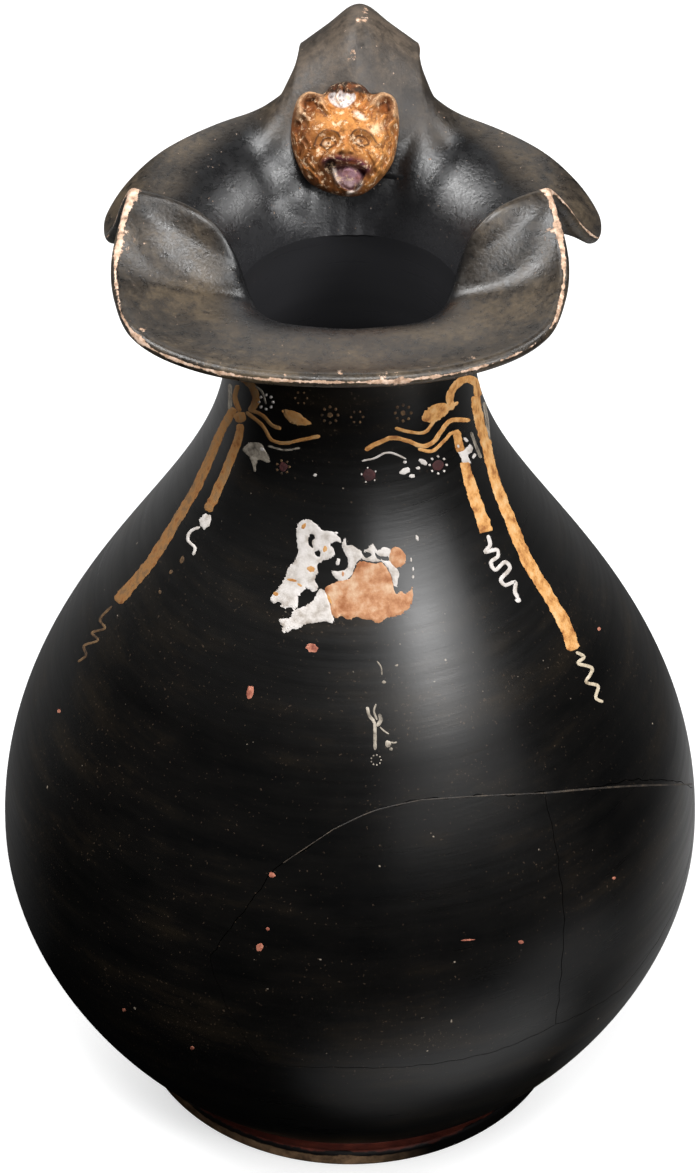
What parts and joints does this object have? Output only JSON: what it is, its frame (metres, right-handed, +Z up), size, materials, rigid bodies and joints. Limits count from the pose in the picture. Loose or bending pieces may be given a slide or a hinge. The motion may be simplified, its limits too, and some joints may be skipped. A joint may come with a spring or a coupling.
{
  "type": "trefoil-mouthed wine jug",
  "caption": "Pear-shaped clay wine jug with a folded trefoil mouth, a high ridged strap handle with a lion head at its root, and a low ring foot.",
  "frame": {"origin": "on the floor under the axis of the body, at the middle of the ring foot's underside", "axes": "+Z up along the body's axis; the front lobe of the mouth points to -Y and the handle stands at +Y"},
  "size_m": [0.17, 0.17, 0.2628],
  "materials": {
    "black_glaze": "semi-gloss",
    "brown_glaze": "semi-gloss",
    "foot_slip": "satin",
    "ochre_clay": "matt"
  },
  "bodies": {
    "root": {"foot_ring": "foot_slip", "body_wall": "black_glaze", "front_sherd": "black_glaze", "flank_sherd": "black_glaze", "neck": "black_glaze", "trefoil_mouth": "brown_glaze", "handle": "brown_glaze", "lion_head": "ochre_clay"}
  },
  "joints": []
}
